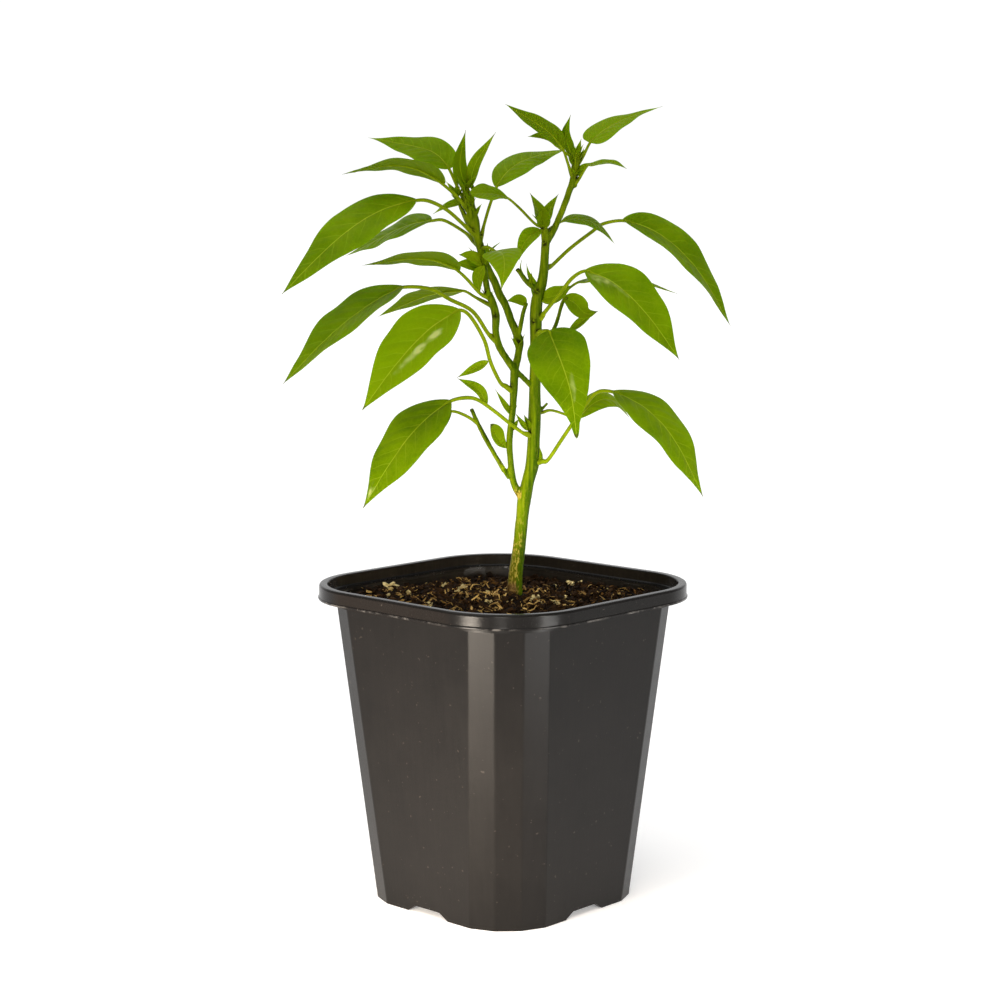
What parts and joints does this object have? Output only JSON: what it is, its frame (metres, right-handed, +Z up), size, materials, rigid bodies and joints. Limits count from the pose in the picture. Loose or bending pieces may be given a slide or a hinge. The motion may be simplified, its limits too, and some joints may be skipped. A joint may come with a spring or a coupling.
{
  "type": "potted chilli pepper plant",
  "caption": "Young chilli pepper plant with a branched green stem and pointed leaves, standing in soil in a tapered square nursery pot with a rounded rim.",
  "frame": {"origin": "on the surface that the pot stands on, below the middle of the whole object's outline as seen from above", "axes": "+Z up along the plant; X and Y square to the pot's four sides"},
  "size_m": [0.2066, 0.1766, 0.3798],
  "materials": {
    "pot": "charcoal moulded plastic with a soft gloss, fine grain and light scuffs",
    "soil": "moist dark potting mix with tan fibres, bark chips and pale clods",
    "stem": "smooth yellow-green stem with a tan corky base",
    "leaf": "satin green leaf with a pale midrib and side veins"
  },
  "bodies": {
    "root": {"pot": "pot", "soil": "soil", "stem": "stem", "leaf_crown_left": "leaf", "leaf_crown_left_small": "leaf", "leaf_crown_right": "leaf", "leaf_crown_right_small": "leaf", "leaf_top_left_high": "leaf", "leaf_top_left_low": "leaf", "leaf_top_middle": "leaf", "leaf_top_inner": "leaf", "leaf_upper_left": "leaf", "leaf_upper_left_back": "leaf", "leaf_upper_right": "leaf", "leaf_upper_right_short": "leaf", "leaf_middle_curled": "leaf", "leaf_middle_drooping": "leaf", "leaf_middle_left_high": "leaf", "leaf_middle_left_narrow": "leaf", "leaf_middle_left_long": "leaf", "leaf_middle_left_broad": "leaf", "leaf_front": "leaf", "leaf_middle_right": "leaf", "leaf_middle_right_back": "leaf", "leaf_low_left": "leaf", "leaf_low_left_back": "leaf", "leaf_low_right": "leaf", "leaf_low_right_back": "leaf"}
  },
  "joints": []
}
